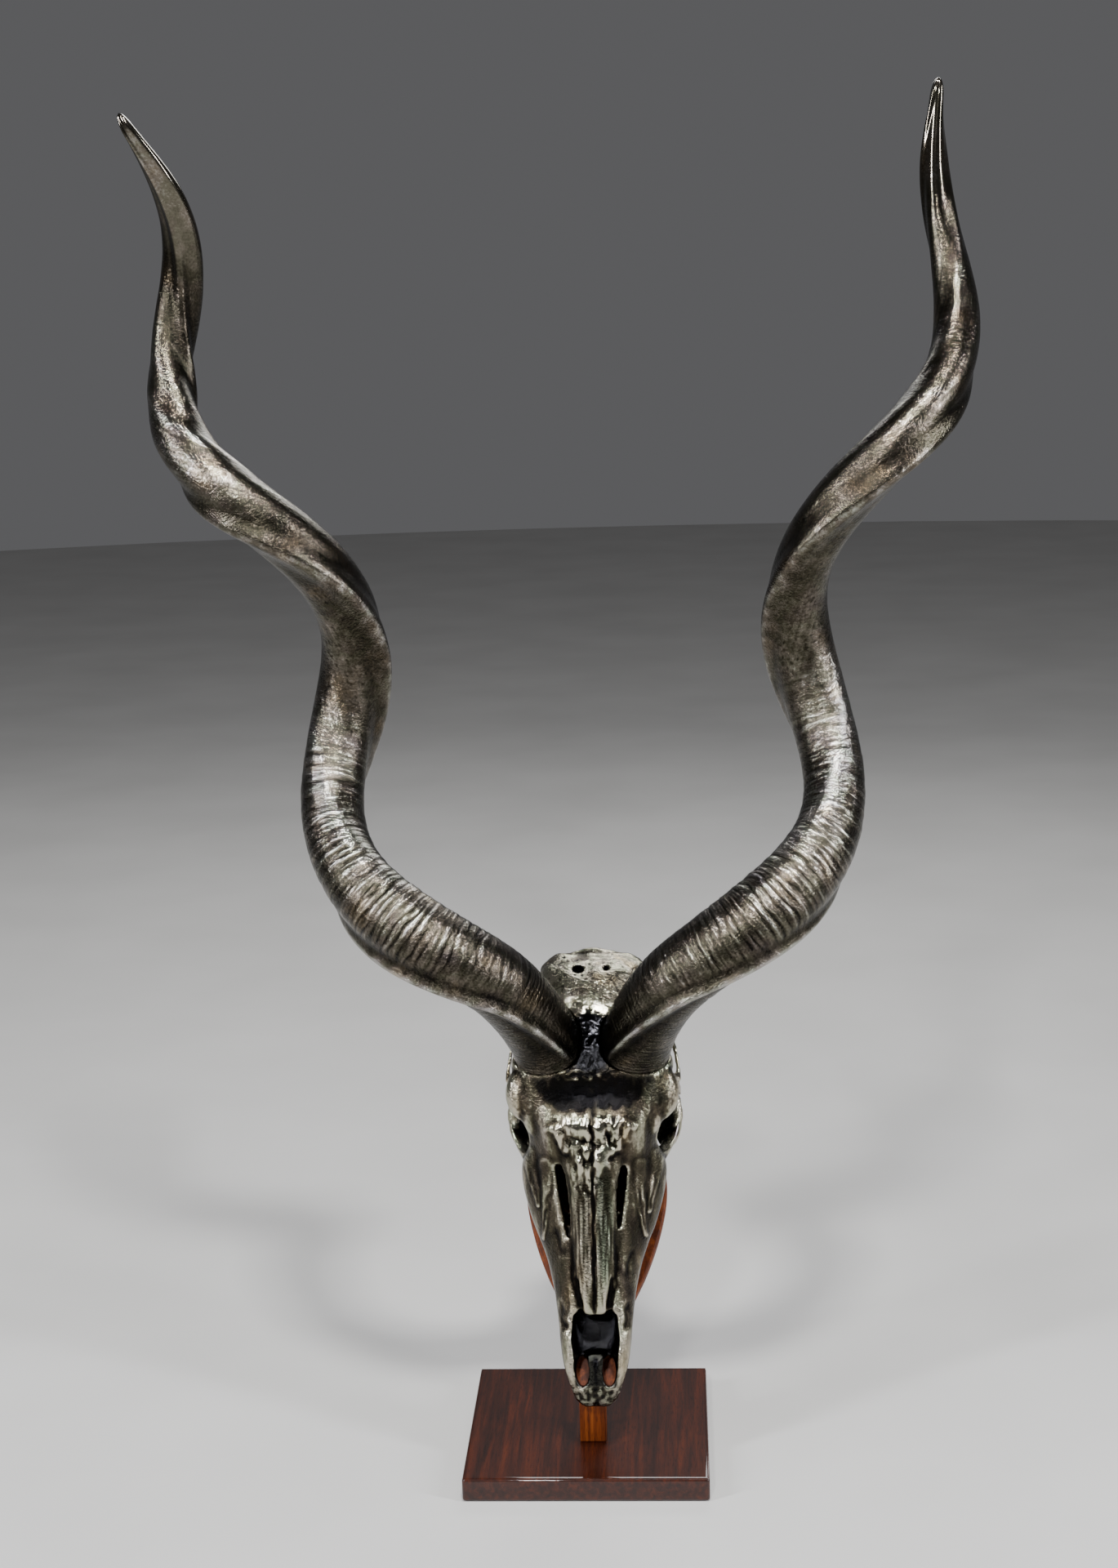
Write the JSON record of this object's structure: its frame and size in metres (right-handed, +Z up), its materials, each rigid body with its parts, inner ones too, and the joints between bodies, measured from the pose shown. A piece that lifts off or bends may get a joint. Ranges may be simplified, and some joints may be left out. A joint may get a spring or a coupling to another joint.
{
  "type": "kudu skull mount",
  "caption": "Silvered greater kudu skull with spiral horns, carried on a wooden panel, a short post and a square base, as a freestanding display piece.",
  "frame": {"origin": "centre of the base's underside, on the surface that the mount stands on", "axes": "+Z up; the skull faces -Y; +X is on the right of someone who faces the skull"},
  "size_m": [0.7332, 0.2758, 1.2237],
  "materials": {
    "base_hardwood": "red-brown hardwood under gloss varnish",
    "amber_wood": "stained orange-brown, satin varnish",
    "antique_silver": "silver plate over bone and horn, darkened in the recesses and rubbed bright on the ridges"
  },
  "bodies": {
    "root": {"base": "base_hardwood", "post": "amber_wood", "panel": "amber_wood", "skull": "antique_silver", "horn_left": "antique_silver", "horn_right": "antique_silver"}
  },
  "joints": []
}
